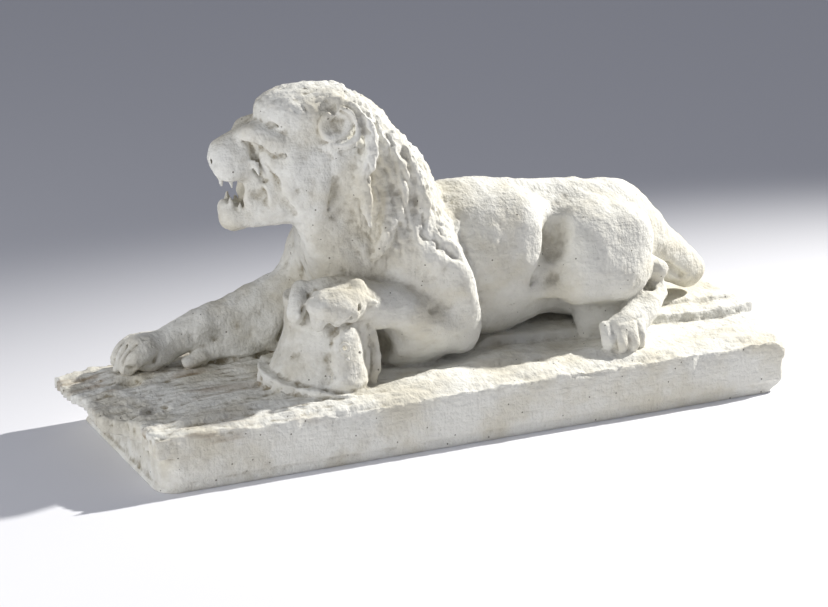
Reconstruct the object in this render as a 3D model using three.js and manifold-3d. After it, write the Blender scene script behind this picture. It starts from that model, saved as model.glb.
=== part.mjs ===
// A plaster study of a lion lying on a rough plank of ground, one forepaw on a bell-shaped helmet.
// Lion, helmet, ground and plinth are one cast piece, so they are one solid.
//
// Millimetres. X runs along the plinth from the head end (-) to the tail end (+), Y across it from
// the front (-) to the back (+), and Z up. The origin is the middle of the plinth's underside.
import * as THREE from 'three';
import Module from 'manifold-3d';
import { mergeVertices } from 'three/addons/utils/BufferGeometryUtils.js';

// ---- Driving sizes -----------------------------------------------------------------------------
const PLINTH = { length: 480, width: 160, height: 39, corner: 2.5 };
const GROUND = { bottom: 31, top: 42, inset: 5 };            // the rough ground spread on the plinth
const OVERHANG = 22;               // how far the ground juts past the plinth's head end
const BOARD = { bottom: 40, top: 47.5, front: -13, start: 24, past: 9 };   // what the body lies on
const LAYER = { top: 50, front: 9, start: 160, past: 4 };    // a second, shorter board behind it

const BARREL = [40, 14, 102];      // middle of the rib cage
const HIP = [118, 14, 102];        // middle of the hindquarters
const SHOULDER = [-28, 14, 122];   // middle of the shoulders
const SKULL = [-100, 8, 205];      // middle of the head
const HEAD_TURN = -12;             // degrees the head is turned towards the back
const HELMET = [-97, -22, 42];     // middle of the helmet's rim
const BELL = { tall: 60, taper: 46, turn: -25 };   // the helmet's height, how high it narrows, its turn
const TAIL_CUT = [213, 19, 69];    // middle of the tail stub's cut end

const SINK = 4;                    // how deep the animal's form is carried into the ground below it
const SHARP = 0.01;                // the least softness of a join, in place of none
const FAR = 40;                    // the distance held where no form reaches
const HAIR = 0.2;                  // the distance given to a spot that changes sides
const MARGIN = 12;                 // how far past a form its distance is still worked out

// ---- Soft forms --------------------------------------------------------------------------------
// The animal is built up as a sculptor does, by adding and taking away soft forms. A form is a
// signed distance, negative inside, and each keeps the softness k of its join with the rest.
const forms = [];

// Places about an anchor, with x and y turned by yaw degrees.
const from = ([ax, ay, az], yaw = 0) => {
  const cos = Math.cos(THREE.MathUtils.degToRad(yaw));
  const sin = Math.sin(THREE.MathUtils.degToRad(yaw));
  return (x, y, z) => [ax + x * cos - y * sin, ay + x * sin + y * cos, az + z];
};

// Turn about Z by yaw, then about the new Y by pitch, then about the new X by roll, in degrees.
function turned([yaw, pitch, roll]) {
  const euler = new THREE.Euler(...[roll, pitch, yaw].map(THREE.MathUtils.degToRad), 'ZYX');
  return new THREE.Matrix4().makeRotationFromEuler(euler).invert();
}

function boxAround(points, reach) {
  const box = new THREE.Box3();
  for (const [x, y, z] of points) box.expandByPoint(new THREE.Vector3(x, y, z));
  return box.expandByScalar(reach);
}

// An ellipsoid: how far the point is out along its own radius, scaled by the steepness there.
function ellipsoid(at, radii, turn) {
  const inward = turned(turn);
  const p = new THREE.Vector3();
  return (x, y, z) => {
    p.set(x - at[0], y - at[1], z - at[2]).applyMatrix4(inward);
    const u = p.x / radii[0], v = p.y / radii[1], w = p.z / radii[2];
    const out = Math.hypot(u, v, w);
    const steep = Math.hypot(u / radii[0], v / radii[1], w / radii[2]);
    return steep === 0 ? -Math.min(...radii) : out * (out - 1) / steep;
  };
}

// A chain of round tapering rods through [x, y, z, radius] points.
function chain(points) {
  return (x, y, z) => {
    let nearest = Infinity;
    for (let i = 1; i < points.length; i++) {
      const [ax, ay, az, ar] = points[i - 1];
      const [bx, by, bz, br] = points[i];
      const ex = bx - ax, ey = by - ay, ez = bz - az;
      const along = ((x - ax) * ex + (y - ay) * ey + (z - az) * ez) / (ex * ex + ey * ey + ez * ez);
      const h = THREE.MathUtils.clamp(along, 0, 1);
      const out = Math.hypot(x - ax - h * ex, y - ay - h * ey, z - az - h * ez);
      nearest = Math.min(nearest, out - ar - h * (br - ar));
    }
    return nearest;
  };
}

function keep(distance, points, reach, k, taken) {
  forms.push({ distance, box: boxAround(points, reach + k + MARGIN), k: Math.max(k, SHARP), taken });
}

const thickest = (points) => Math.max(...points.map((point) => point[3]));
const egg = (at, radii, turn, k) => keep(ellipsoid(at, radii, turn), [at], Math.max(...radii), k, false);
const dent = (at, radii, turn, k) => keep(ellipsoid(at, radii, turn), [at], Math.max(...radii), k, true);
const limb = (points, k) => keep(chain(points), points, thickest(points), k, false);
const groove = (points, k) => keep(chain(points), points, thickest(points), k, true);

// ---- The animal, part by part ------------------------------------------------------------------
const STRAIGHT = [0, 0, 0];
const AHEAD = [HEAD_TURN, 0, 0];

function trunk() {
  const at = from(BARREL);
  egg(at(0, 0, 0), [66, 42, 57], [0, 2, 0], 8);
  egg(at(-20, -2, 14), [44, 40, 46], STRAIGHT, 10);          // withers
  egg(at(52, 2, 1), [50, 34, 48], [0, 4, 0], 14);            // loin
  egg(at(84, 0, -4), [50, 42, 50], [0, 12, 0], 14);          // rump
  egg(at(-2, -22, 10), [34, 26, 40], [0, -10, 0], 8);        // rib cage, standing out at the front
  egg(at(14, -27, 22), [19, 19, 32], [0, -8, 0], 6);
  dent(at(46, -56, 18), [13, 18, 30], [0, 14, 0], 6);        // hollow of the flank
}

function hindLegs() {
  const at = from(HIP);
  egg(at(0, -26, 2), [42, 32, 37], [0, 22, 0], 8);           // thigh
  egg(at(-27, -44, -10), [15, 16, 21], [0, 8, 0], 8);        // knee
  egg(at(4, -38, -10), [34, 23, 25], [0, 6, 0], 8);
  limb([[...at(-34, -36, -40), 12], [...at(22, -36, -38), 12]], 6);
  const foot = [[40, -38, -16, 7.5], [41, -40, -30, 8], [28, -50, -40, 10], [8, -62, -45, 12]];
  limb(foot.map(([x, y, z, r]) => [...at(x, y, z), r]), 3);
  egg(at(0, -69, -49), [15, 14, 13], [-25, 12, 0], 3);       // paw

  egg(at(0, 28, 0), [40, 29, 37], [0, 20, 0], 10);           // the far leg, plainer
  limb([[...at(-26, 44, -36), 11], [...at(12, 44, -40), 12], [...at(40, 38, -30), 11]], 6);
  limb([[...at(42, 40, -40), 8.5], [...at(6, 48, -48), 10]], 4);
}

function tailStub() {
  limb([[150, 14, 114, 28], [180, 16, 92, 20.5], [198, 17, 80, 17.5], [...TAIL_CUT, 14.5]], 8);
}

function shoulders() {
  const at = from(SHOULDER);
  for (const side of [-1, 1]) egg(at(-1, side * 26, -1), [32, 27, 44], [0, -14, 0], 10);
  egg(at(-14, 0, -36), [44, 42, 48], STRAIGHT, 10);          // deep chest
  egg(at(-52, -8, 16), [28, 30, 30], STRAIGHT, 10);          // breast below the throat
}

function nearForeleg() {
  const at = from(SHOULDER);
  limb([[...at(8, -40, -2), 17], [...at(20, -41, -24), 17], [...at(28, -39, -44), 15]], 8);
  limb([[...at(30, -38, -54), 15], [...at(0, -46, -44), 15], [...at(-34, -50, -32), 12]], 8);
  egg(at(-2, -26, -60), [34, 26, 26], STRAIGHT, 8);          // the mass left under the arm
}

// The helmet is a bell: an oval that narrows upwards, with a brim that flares at the nape.
function helmet() {
  const [cx, cy, rim] = HELMET;
  const turn = THREE.MathUtils.degToRad(BELL.turn);
  const distance = (x, y, z) => {
    const along = (x - cx) * Math.cos(turn) + (y - cy) * Math.sin(turn);
    const across = (y - cy) * Math.cos(turn) - (x - cx) * Math.sin(turn);
    const rise = THREE.MathUtils.clamp((z - rim) / BELL.taper, 0, BELL.tall / BELL.taper);
    const long = along < 0 ? 44 - 17 * rise + 3 * rise * rise : 32 - 3 * rise;
    const wide = 38 - 12 * rise + 2 * rise * rise;
    const side = (Math.hypot(along / long, across / wide) - 1) * Math.min(long, wide);
    return Math.max(side, z - rim - BELL.tall);
  };
  keep(distance, [HELMET], BELL.tall, 2, false);
}

function nearPaw() {
  const at = from(HELMET);
  limb([[...at(35, -14, 50), 12], [...at(13, -16, 60), 11], [...at(-3, -18, 62), 10]], 5);
  const toes = [[-26, -16, 57, 7.5], [-14, -27, 56, 7], [-2, -28, 55, 7], [9, -28, 56, 6.5]];
  for (const [x, y, z, r] of toes) {
    limb([[...at(x + 6, y + 8, z + 6), 7], [...at(x, y, z), r], [...at(x - 1, y - 2, z - 5), r - 1.5]], 2);
  }
}

function farForeleg() {
  const y = 50;
  egg([-71, y - 6, 112], [23, 25, 32], [0, -10, 0], 8);
  limb([[-76, y - 4, 106, 22], [-111, y - 1, 80, 18], [-140, y, 72, 14], [-160, y, 69, 12.5],
    [-190, y, 57, 11]], 8);
  limb([[-70, y - 6, 72, 30], [-112, y - 4, 62, 20], [-150, y - 3, 54, 13]], 8);
  egg([-202, y, 54], [17, 17, 13], [0, 6, 0], 5);
  for (let toe = 0; toe < 4; toe++) {
    const across = y - 12 + 8 * toe;
    limb([[-204, across, 56, 7], [-216, across - 1, 53, 6.5], [-221, across - 1, 49, 5]], 2);
  }
}

function neck() {
  limb([[-76, 9, 194, 41], [-46, 10, 148, 49], [-44, 12, 108, 50]], 10);
}

function head() {
  const at = from(SKULL, HEAD_TURN);
  egg(at(0, 0, 0), [36, 30, 36], AHEAD, 8);
  egg(at(-10, 0, 23), [21, 27, 17], AHEAD, 5);            // hair over the forehead
  egg(at(-49, 0, -7), [19, 18, 15.5], [HEAD_TURN, -8, 0], 4);        // muzzle
  limb([[...at(-14, 0, 5), 15], [...at(-46, 0, -3), 11]], 8);  // bridge of the nose
  for (const side of [-1, 1]) {
    egg(at(-36, side * 11, 10), [11.5, 9.5, 7.5], AHEAD, 4);  // brow
    egg(at(-27, side * 17, 2), [13, 10, 10], AHEAD, 5);   // eye
    egg(at(-12, side * 16, -25), [20, 20, 24], AHEAD, 6);  // cheek
    limb([[...at(-48, side * 6, -48), 8.5], [...at(-20, side * 16, -41), 13]], 6);  // jaw
  }
  egg(at(-50, 0, -48), [13, 12, 10], AHEAD, 5);           // chin
  dent(at(-54, 0, -30), [19, 30, 8.5], AHEAD, 3);         // open mouth
}

// The ears, and the roll of hair that frames the face from the crown to below the cheek.
function earsAndCollar() {
  const at = from(SKULL, HEAD_TURN);
  for (const side of [-1, 1]) {
    egg(at(12, side * 30, 15), [14, 9, 14], [HEAD_TURN + side * 28, 0, 0], 3);
    dent(at(9, side * 39, 16), [9.5, 6, 9.5], [HEAD_TURN + side * 28, 0, 0], 2);
    const roll = [[2, 0, 30, 5.5], [11, 16, 32, 6], [21, 27, 28, 6.5], [30, 34, 18, 6.5], [35, 37, 5, 6],
      [34, 38, -8, 6], [30, 39, -20, 5.5], [23, 39, -34, 5]];
    limb(roll.map(([x, y, z, r]) => [...at(x, side * y, z), r]), 4);
    const furrow = [[10, 26, 38, 2.5], [20, 35, 28, 3], [24, 39, 16, 3], [23, 41, 1, 3], [16, 42, -13, 3.5],
      [9, 41, -41, 3]];
    groove(furrow.map(([x, y, z, r]) => [...at(x, side * y, z), r]), 3);
  }
}

function buildAnimal() {
  trunk();
  hindLegs();
  tailStub();
  shoulders();
  nearForeleg();
  neck();
  helmet();
  nearPaw();
  farForeleg();
  head();
  earsAndCollar();
}

// ---- From soft forms to facets -----------------------------------------------------------------
const wasm = await Module();
wasm.setup();

function solidOf(vertProperties, triVerts) {
  return new wasm.Manifold(new wasm.Mesh({ numProp: 3, vertProperties, triVerts }));
}

// Grid planes from start, through stretches of [end, spacing]: closer where the carving is finer.
function planes(start, stretches) {
  const out = [start];
  for (const [end, spacing] of stretches) {
    const first = out[out.length - 1];
    const count = Math.max(1, Math.round((end - first) / spacing));
    for (let i = 1; i <= count; i++) out.push(first + (end - first) * i / count);
  }
  return out;
}

// Bounds of the animal's grid lie a few millimetres outside it; its bottom is sunk in the ground.
const GRID = [
  planes(-232, [[-172, 8.5], [-60, 6], [40, 8.5], [236, 10.5]]),
  planes(-80, [[-56, 8], [36, 6.6], [80, 9.5]]),
  planes(GROUND.top - SINK, [[132, 8.4], [254, 6.1]]),
];
const SIZE = GRID.map((line) => line.length);
const spotOf = (i, j, l) => (i * SIZE[1] + j) * SIZE[2] + l;

// The planes of one axis that a form's box reaches.
function reached(line, low, high) {
  const first = line.findIndex((value) => value >= low);
  const beyond = line.findIndex((value) => value > high);
  return [first < 0 ? line.length : first, beyond < 0 ? line.length : beyond];
}

// Soft union: the lesser of two distances, less a little where they are within k of each other.
// A cut is the same union made with the inside and the outside swapped.
function softUnion(a, b, k) {
  const near = Math.max(k - Math.abs(a - b), 0) / k;
  return Math.min(a, b) - near * near * k / 4;
}

function blendForms() {
  const field = new Float64Array(SIZE[0] * SIZE[1] * SIZE[2]).fill(FAR);
  for (const { distance, box, k, taken } of forms) {
    const low = box.min.toArray(), high = box.max.toArray();
    const [xs, ys, zs] = GRID.map((line, axis) => reached(line, low[axis], high[axis]));
    for (let i = xs[0]; i < xs[1]; i++) {
      for (let j = ys[0]; j < ys[1]; j++) {
        for (let l = zs[0]; l < zs[1]; l++) {
          const spot = spotOf(i, j, l);
          const other = distance(GRID[0][i], GRID[1][j], GRID[2][l]);
          field[spot] = taken ? -softUnion(-field[spot], other, k) : softUnion(field[spot], other, k);
        }
      }
    }
  }
  closeAtTheEdges(field);
  openPinches(field);
  return field;
}

// The outermost planes lie outside the form, so that its skin closes there.
function closeAtTheEdges(field) {
  for (let i = 0; i < SIZE[0]; i++) {
    for (let j = 0; j < SIZE[1]; j++) {
      for (let l = 0; l < SIZE[2]; l++) {
        const edge = [i, j, l].some((n, axis) => n === 0 || n === SIZE[axis] - 1);
        if (edge) field[spotOf(i, j, l)] = Math.max(field[spotOf(i, j, l)], HAIR);
      }
    }
  }
}

// Where a square of four spots is solid at two opposite corners only, the skin would touch itself
// along an edge. The spot nearest the surface changes sides until no such square is left.
function openPinches(field) {
  const steps = [[0, 1, 0, 0, 0, 1], [1, 0, 0, 0, 0, 1], [1, 0, 0, 0, 1, 0]];
  for (let changed = true; changed;) {
    changed = false;
    for (let i = 1; i < SIZE[0] - 2; i++) {
      for (let j = 1; j < SIZE[1] - 2; j++) {
        for (let l = 1; l < SIZE[2] - 2; l++) {
          for (const [ai, aj, al, bi, bj, bl] of steps) {
            const ring = [spotOf(i, j, l), spotOf(i + ai, j + aj, l + al),
              spotOf(i + ai + bi, j + aj + bj, l + al + bl), spotOf(i + bi, j + bj, l + bl)];
            const solid = ring.map((spot) => field[spot] < 0);
            if (solid[0] !== solid[2] || solid[1] !== solid[3] || solid[0] === solid[1]) continue;
            ring.sort((a, b) => Math.abs(field[a]) - Math.abs(field[b]));
            field[ring[0]] = field[ring[0]] < 0 ? HAIR : -HAIR;
            changed = true;
          }
        }
      }
    }
  }
}

// One vertex in each cell that the surface crosses, at the mean of its crossings, and one square
// round each grid edge that goes from solid to air.
function skinOf(field) {
  const vertices = [];
  const vertexOf = new Map();
  const corners = [0, 1, 2, 3, 4, 5, 6, 7].map((n) => [n & 1, (n >> 1) & 1, (n >> 2) & 1]);
  for (let i = 0; i < SIZE[0] - 1; i++) {
    for (let j = 0; j < SIZE[1] - 1; j++) {
      for (let l = 0; l < SIZE[2] - 1; l++) {
        const values = corners.map(([a, b, c]) => field[spotOf(i + a, j + b, l + c)]);
        const mean = new THREE.Vector3();
        let hits = 0;
        for (let n = 0; n < 8; n++) {
          for (const bit of [1, 2, 4]) {
            if (n & bit || (values[n] < 0) === (values[n | bit] < 0)) continue;
            const t = values[n] / (values[n] - values[n | bit]);
            const at = corners[n].map((c, axis) => {
              const index = [i, j, l][axis] + c;
              const next = [i, j, l][axis] + corners[n | bit][axis];
              return THREE.MathUtils.lerp(GRID[axis][index], GRID[axis][next], t);
            });
            mean.add(new THREE.Vector3(...at));
            hits++;
          }
        }
        if (hits === 0) continue;
        vertexOf.set(spotOf(i, j, l), vertices.length);
        vertices.push(mean.divideScalar(hits));
      }
    }
  }
  const triangles = [];
  const unit = [[1, 0, 0], [0, 1, 0], [0, 0, 1]];
  for (let i = 0; i < SIZE[0] - 1; i++) {
    for (let j = 0; j < SIZE[1] - 1; j++) {
      for (let l = 0; l < SIZE[2] - 1; l++) {
        for (let axis = 0; axis < 3; axis++) {
          const [di, dj, dl] = unit[axis];
          if (i < 1 - di || j < 1 - dj || l < 1 - dl) continue;
          const here = field[spotOf(i, j, l)] < 0;
          if (here === field[spotOf(i + di, j + dj, l + dl)] < 0) continue;
          const u = unit[(axis + 1) % 3], v = unit[(axis + 2) % 3];
          const ring = [[1, 1], [0, 1], [0, 0], [1, 0]].map(([a, b]) => vertexOf.get(
            spotOf(i - a * u[0] - b * v[0], j - a * u[1] - b * v[1], l - a * u[2] - b * v[2])));
          if (!here) ring.reverse();
          const [p, q, r, s] = ring.map((n) => vertices[n]);
          if (p.distanceTo(r) >= q.distanceTo(s)) ring.push(ring.shift());   // split along the shorter way
          triangles.push(ring[0], ring[1], ring[2], ring[0], ring[2], ring[3]);
        }
      }
    }
  }
  return solidOf(Float32Array.from(vertices.flatMap((v) => v.toArray())), Uint32Array.from(triangles));
}

// ---- Joining the animal to its ground and plinth -----------------------------------------------
function solidFrom(geometry) {
  geometry.deleteAttribute('normal');
  geometry.deleteAttribute('uv');
  const merged = mergeVertices(geometry, 1e-4);
  return solidOf(merged.attributes.position.array, new Uint32Array(merged.index.array));
}

// An outline on the plinth's top, raised from bottom to top.
function raised(outline, bottom, top) {
  const shape = new THREE.Shape(outline.map(([x, y]) => new THREE.Vector2(x, y)));
  const geometry = new THREE.ExtrudeGeometry(shape, { depth: top - bottom, bevelEnabled: false });
  return solidFrom(geometry.translate(0, 0, bottom));
}

function plinth() {
  const x = PLINTH.length / 2, y = PLINTH.width / 2, c = PLINTH.corner;
  const front = [[-x, -y + c], [-x + c, -y], [x - c, -y], [x, -y + c]];   // going round the front's corners
  const back = front.map(([a, b]) => [-a, -b]);
  return raised([...front, ...back], 0, PLINTH.height);
}

// The ground ends past the plinth's head end in broken strips, shorter towards the front. Each goes
// out to a share of the overhang, and forward to a share of the half width.
function ground() {
  const x = PLINTH.length / 2, y = PLINTH.width / 2 - GROUND.inset, slant = 1;
  const strips = [[0.93, 0.62], [1.12, 0.35], [0.92, 0.12], [1.05, -0.32], [0.22, -0.5], [0.1, -0.97]];
  const headEnd = [];
  let start = 1;
  for (const [out, end] of strips) {
    const edge = -x - OVERHANG * out;
    headEnd.push([edge, y * start - slant], [edge, y * end + slant]);
    start = end;
  }
  return raised([...headEnd, [x - slant, -y], [x - slant, y]], GROUND.bottom, GROUND.top);
}

function boards() {
  const x = PLINTH.length / 2, y = PLINTH.width / 2 - GROUND.inset;
  const sawn = ({ start, past, front }, top) => {
    const end = x + past, skew = 5;      // the boards are cut off a little askew
    return raised([[start, front], [end, front - skew], [end - skew, y], [start, y]], BOARD.bottom, top);
  };
  return sawn(BOARD, BOARD.top).add(sawn(LAYER, LAYER.top));
}

buildAnimal();
const whole = skinOf(blendForms()).add(ground()).add(boards()).add(plinth()).getMesh();

const geometry = new THREE.BufferGeometry();
geometry.setAttribute('position', new THREE.BufferAttribute(whole.vertProperties, 3));
geometry.setIndex(new THREE.BufferAttribute(whole.triVerts, 1));
geometry.computeVertexNormals();

const plaster = new THREE.MeshStandardMaterial({ color: 0xe9e6da, roughness: 0.85, metalness: 0 });
const lion = new THREE.Mesh(geometry, plaster);
lion.name = 'lion_on_plinth';

const group = new THREE.Group();
group.add(lion);
export default group;
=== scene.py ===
"""A plaster cast of a lying lion, one forepaw on a helmet, on rough ground over a long plinth."""

import bpy
import numpy as np
from mathutils import Matrix, Vector


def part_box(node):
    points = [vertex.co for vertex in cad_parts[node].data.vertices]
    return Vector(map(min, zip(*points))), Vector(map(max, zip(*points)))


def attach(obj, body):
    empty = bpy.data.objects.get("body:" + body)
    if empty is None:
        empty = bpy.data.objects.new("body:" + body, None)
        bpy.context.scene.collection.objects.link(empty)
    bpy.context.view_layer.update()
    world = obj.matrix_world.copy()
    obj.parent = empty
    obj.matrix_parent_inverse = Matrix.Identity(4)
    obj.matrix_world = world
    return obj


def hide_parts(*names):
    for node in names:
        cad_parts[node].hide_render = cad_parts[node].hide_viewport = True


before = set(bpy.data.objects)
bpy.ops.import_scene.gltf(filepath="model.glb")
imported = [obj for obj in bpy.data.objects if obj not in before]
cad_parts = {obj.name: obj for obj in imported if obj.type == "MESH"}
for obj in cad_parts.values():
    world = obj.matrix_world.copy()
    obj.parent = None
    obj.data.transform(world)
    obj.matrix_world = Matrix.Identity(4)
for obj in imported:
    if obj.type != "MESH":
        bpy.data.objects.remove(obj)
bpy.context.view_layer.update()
LOW, HIGH = (np.array(corner) * 1000 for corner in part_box("lion_on_plinth"))     # millimetres
PLINTH = (480.0, HIGH[1] - LOW[1], 39.0)             # length, width and height of the block


# ---- Clay -------------------------------------------------------------------------------------
FAR = 40.0                     # the distance held where no form reaches
BAND = 7.0                     # how far past a form its distance is still worked out
Real = np.float32


def rise(t, start, end):
    """An S-curve from 0 at start to 1 at end: 3s^2 - 2s^3 of the share s of the way."""
    s = np.clip((t - start) / (end - start), 0, 1)
    return s * s * (3 - 2 * s)


def turned(turn):
    """The matrix that turns about Z by yaw, then about the new Y by pitch, then X by roll."""
    yaw, pitch, roll = np.radians(turn)
    c, s = np.cos(yaw), np.sin(yaw)
    about_z = np.array([[c, -s, 0], [s, c, 0], [0, 0, 1]])
    c, s = np.cos(pitch), np.sin(pitch)
    about_y = np.array([[c, 0, s], [0, 1, 0], [-s, 0, c]])
    c, s = np.cos(roll), np.sin(roll)
    about_x = np.array([[1, 0, 0], [0, c, -s], [0, s, c]])
    return (about_z @ about_y @ about_x).astype(Real)


def place(anchor, yaw=0.0):
    """Returns a function that puts a point at a distance along, across and up from an anchor."""
    c, s = np.cos(np.radians(yaw)), np.sin(np.radians(yaw))

    def at(x, y, z, *radius):
        """The point, followed by its radius if one is given."""
        return [anchor[0] + c * x - s * y, anchor[1] + s * x + c * y, anchor[2] + z, *radius]
    return at


def rounded(points, fine):
    """A Catmull-Rom curve through the points: cubic stretches whose slope at each point is half
    the step between its neighbours. Radii run along with the places."""
    p = np.array(points, float)
    if len(p) < 3:
        return p
    p = np.vstack([2 * p[0] - p[1], p, 2 * p[-1] - p[-2]])
    t = (np.arange(fine) / fine)[:, None]
    a, b, c, d = p[:-3, None], p[1:-2, None], p[2:-1, None], p[3:, None]
    curve = (b + t * (c - a) / 2 + t ** 2 * (a - 2.5 * b + 2 * c - d / 2)
             + t ** 3 * (b - c + (d - a) / 3) * 1.5)
    return np.vstack([curve.reshape(-1, p.shape[1]), p[-2:-1]])


class Clay:
    """A block of space on a grid. Each spot holds its distance from the surface, negative inside,
    and forms are added to it and cut from it with soft joins."""

    def __init__(self, low, high, cell):
        self.axes = [np.arange(a, b + cell, cell, dtype=Real) for a, b in zip(low, high)]
        self.d = np.full([len(a) for a in self.axes], FAR, Real)

    def window(self, low, high):
        """The part of the grid inside a box, and its x, y and z ready for broadcasting."""
        cut = tuple(slice(max(0, int(np.searchsorted(a, lo)) - 1), int(np.searchsorted(a, hi)) + 1)
                    for a, lo, hi in zip(self.axes, low, high))
        x, y, z = (a[c] for a, c in zip(self.axes, cut))
        return cut, x[:, None, None], y[None, :, None], z[None, None, :]

    def add(self, cut, other, k):
        """Soft union: the lesser distance, less a little where the two are within k of each other."""
        here = self.d[cut]
        near = np.clip(k - np.abs(here - other), 0, None) / k
        self.d[cut] = np.minimum(here, other) - near * near * (k / 4)

    def cut(self, cut, other, k):
        """Soft cut: the union with inside and outside swapped."""
        here = self.d[cut]
        near = np.clip(k - np.abs(here + other), 0, None) / k
        self.d[cut] = np.maximum(here, -other) + near * near * (k / 4)

    def ellipsoid(self, at, radii, turn, k):
        """How far a spot is out along its own radius, scaled by the steepness there."""
        r = np.array(radii, Real)
        m = turned(turn)
        reach = np.sqrt(((m * r) ** 2).sum(1)) + k + BAND
        cut, x, y, z = self.window(np.array(at) - reach, np.array(at) + reach)
        x, y, z = x - Real(at[0]), y - Real(at[1]), z - Real(at[2])
        u, v, w = ((x * m[0, i] + y * m[1, i] + z * m[2, i]) / r[i] for i in range(3))
        out = np.sqrt(u * u + v * v + w * w)
        steep = np.sqrt((u / r[0]) ** 2 + (v / r[1]) ** 2 + (w / r[2]) ** 2) + 1e-6
        return cut, out * (out - 1) / steep

    def rods(self, points, k, fine):
        """The distance from a curve through [x, y, z, radius] points, less the radius there."""
        p = rounded(points, fine).astype(Real)
        reach = p[:, 3].max() + k + BAND
        cut, x, y, z = self.window(p[:, :3].min(0) - reach, p[:, :3].max(0) + reach)
        nearest = Real(FAR)
        for a, b in zip(p[:-1], p[1:]):
            e = b[:3] - a[:3]
            h = np.clip(((x - a[0]) * e[0] + (y - a[1]) * e[1] + (z - a[2]) * e[2]) / (e @ e + 1e-9), 0, 1)
            out = np.sqrt((x - a[0] - h * e[0]) ** 2 + (y - a[1] - h * e[1]) ** 2
                          + (z - a[2] - h * e[2]) ** 2)
            nearest = np.minimum(nearest, out - a[3] - h * (b[3] - a[3]))
        return cut, nearest

    def box(self, at, half, turn, rnd, k):
        """The distance from a box with its corners rounded by rnd."""
        half = np.array(half, Real)
        m = turned(turn)
        reach = np.abs(m) @ half + k + BAND
        cut, x, y, z = self.window(np.array(at) - reach, np.array(at) + reach)
        x, y, z = x - Real(at[0]), y - Real(at[1]), z - Real(at[2])
        q = [np.abs(x * m[0, i] + y * m[1, i] + z * m[2, i]) - (half[i] - rnd) for i in range(3)]
        out = np.sqrt(sum(np.clip(c, 0, None) ** 2 for c in q))
        return cut, out + np.clip(np.maximum(np.maximum(q[0], q[1]), q[2]), None, 0) - rnd

    def egg(self, at, radii, turn=(0, 0, 0), k=6):
        """Adds an ellipsoid with the given radii."""
        self.add(*self.ellipsoid(at, radii, turn, k), k)

    def dent(self, at, radii, turn=(0, 0, 0), k=4):
        """Cuts such an ellipsoid away."""
        self.cut(*self.ellipsoid(at, radii, turn, k), k)

    def limb(self, points, k=6, fine=8):
        """Adds a rod along a curve through [x, y, z, radius] points."""
        self.add(*self.rods(points, k, fine), k)

    def groove(self, points, k=2, fine=3):
        """Cuts such a rod away."""
        self.cut(*self.rods(points, k, fine), k)

    def slab(self, at, half, turn=(0, 0, 0), rnd=1, k=2):
        """Adds a box with the given half sizes and rounded corners."""
        self.add(*self.box(at, half, turn, rnd, k), k)

    def chop(self, at, half, turn=(0, 0, 0), rnd=1, k=2):
        """Cuts such a box away."""
        self.cut(*self.box(at, half, turn, rnd, k), k)


CORNERS = [(i, j, k) for i in (0, 1) for j in (0, 1) for k in (0, 1)]


def skin(axes, d):
    """Surface nets: one point in each cell that the surface crosses, at the mean of its crossings,
    and one square round each grid edge that goes from solid to air."""
    solid = d < 0
    n = np.array(d.shape) - 1
    count = np.zeros(n, np.int8)
    for c in CORNERS:
        count += solid[c[0]:c[0] + n[0], c[1]:c[1] + n[1], c[2]:c[2] + n[2]]
    cell = np.argwhere((count > 0) & (count < len(CORNERS)))
    index = np.full(n, -1, np.int32)
    index[tuple(cell.T)] = np.arange(len(cell))
    value = [d[tuple((cell + c).T)] for c in CORNERS]
    spot = [np.stack([axes[i][cell[:, i] + c[i]] for i in range(3)], 1) for c in CORNERS]
    total, hits = np.zeros((len(cell), 3), Real), np.zeros((len(cell), 1), Real)
    for a, one in enumerate(CORNERS):
        for b, two in enumerate(CORNERS):
            if b <= a or sum(abs(p - q) for p, q in zip(one, two)) != 1:
                continue
            on = ((value[a] < 0) != (value[b] < 0))[:, None]
            t = value[a][:, None] / np.where(on, (value[a] - value[b])[:, None], 1)
            total += np.where(on, spot[a] * (1 - t) + spot[b] * t, 0)
            hits += on
    squares = []
    for axis in range(3):
        u, v = (axis + 1) % 3, (axis + 2) % 3
        here = [slice(1, -1)] * 3
        here[axis] = slice(0, -1)
        there = list(here)
        there[axis] = slice(1, None)
        a, b = solid[tuple(here)], solid[tuple(there)]
        for order, edges in ((1, a & ~b), (-1, ~a & b)):
            e = np.argwhere(edges)
            e[:, [u, v]] += 1
            ring = []
            for du, dv in ((-1, -1), (0, -1), (0, 0), (-1, 0)):
                q = e.copy()
                q[:, u] += du
                q[:, v] += dv
                ring.append(index[tuple(q.T)])
            squares.append(np.stack(ring, 1)[:, ::order])
    return (total / hits).astype(float), np.concatenate(squares)


def lattice_noise(p, size, seed):
    """Smooth noise from -1 to 1: random values on a lattice whose cells measure size, run together
    by the S-curve along each axis."""
    rng = np.random.default_rng(seed)
    table = rng.uniform(-1, 1, (32, 32, 32))
    q = p / size
    base = np.floor(q).astype(int)
    s = q - base
    s = s * s * (3 - 2 * s)
    total = 0
    for c in CORNERS:
        i, j, k = ((base + c) % 32).T
        share = [s[:, a] if c[a] else 1 - s[:, a] for a in range(3)]
        total = total + table[i, j, k] * share[0] * share[1] * share[2]
    return total


# ---- The lion, part by part, in millimetres ----------------------------------------------------
BARREL = (40, 14, 102)         # middle of the rib cage
HIP = (118, 14, 102)           # middle of the hindquarters
SHOULDER = (-28, 14, 122)      # middle of the shoulders
SKULL = (-100, 8, 205)         # middle of the head
HELMET = (-97, -22, 42)        # middle of the helmet's rim
BELL = {"tall": 61, "taper": 46, "turn": -25}
HEAD_TURN = -12                # the head is turned a little towards the back
TAIL_CUT = (213, 19, 69)
GROUND_TOP = 42
BOARD = {"front": -15, "start": 24, "thick": 6.5, "past": 10}


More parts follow.
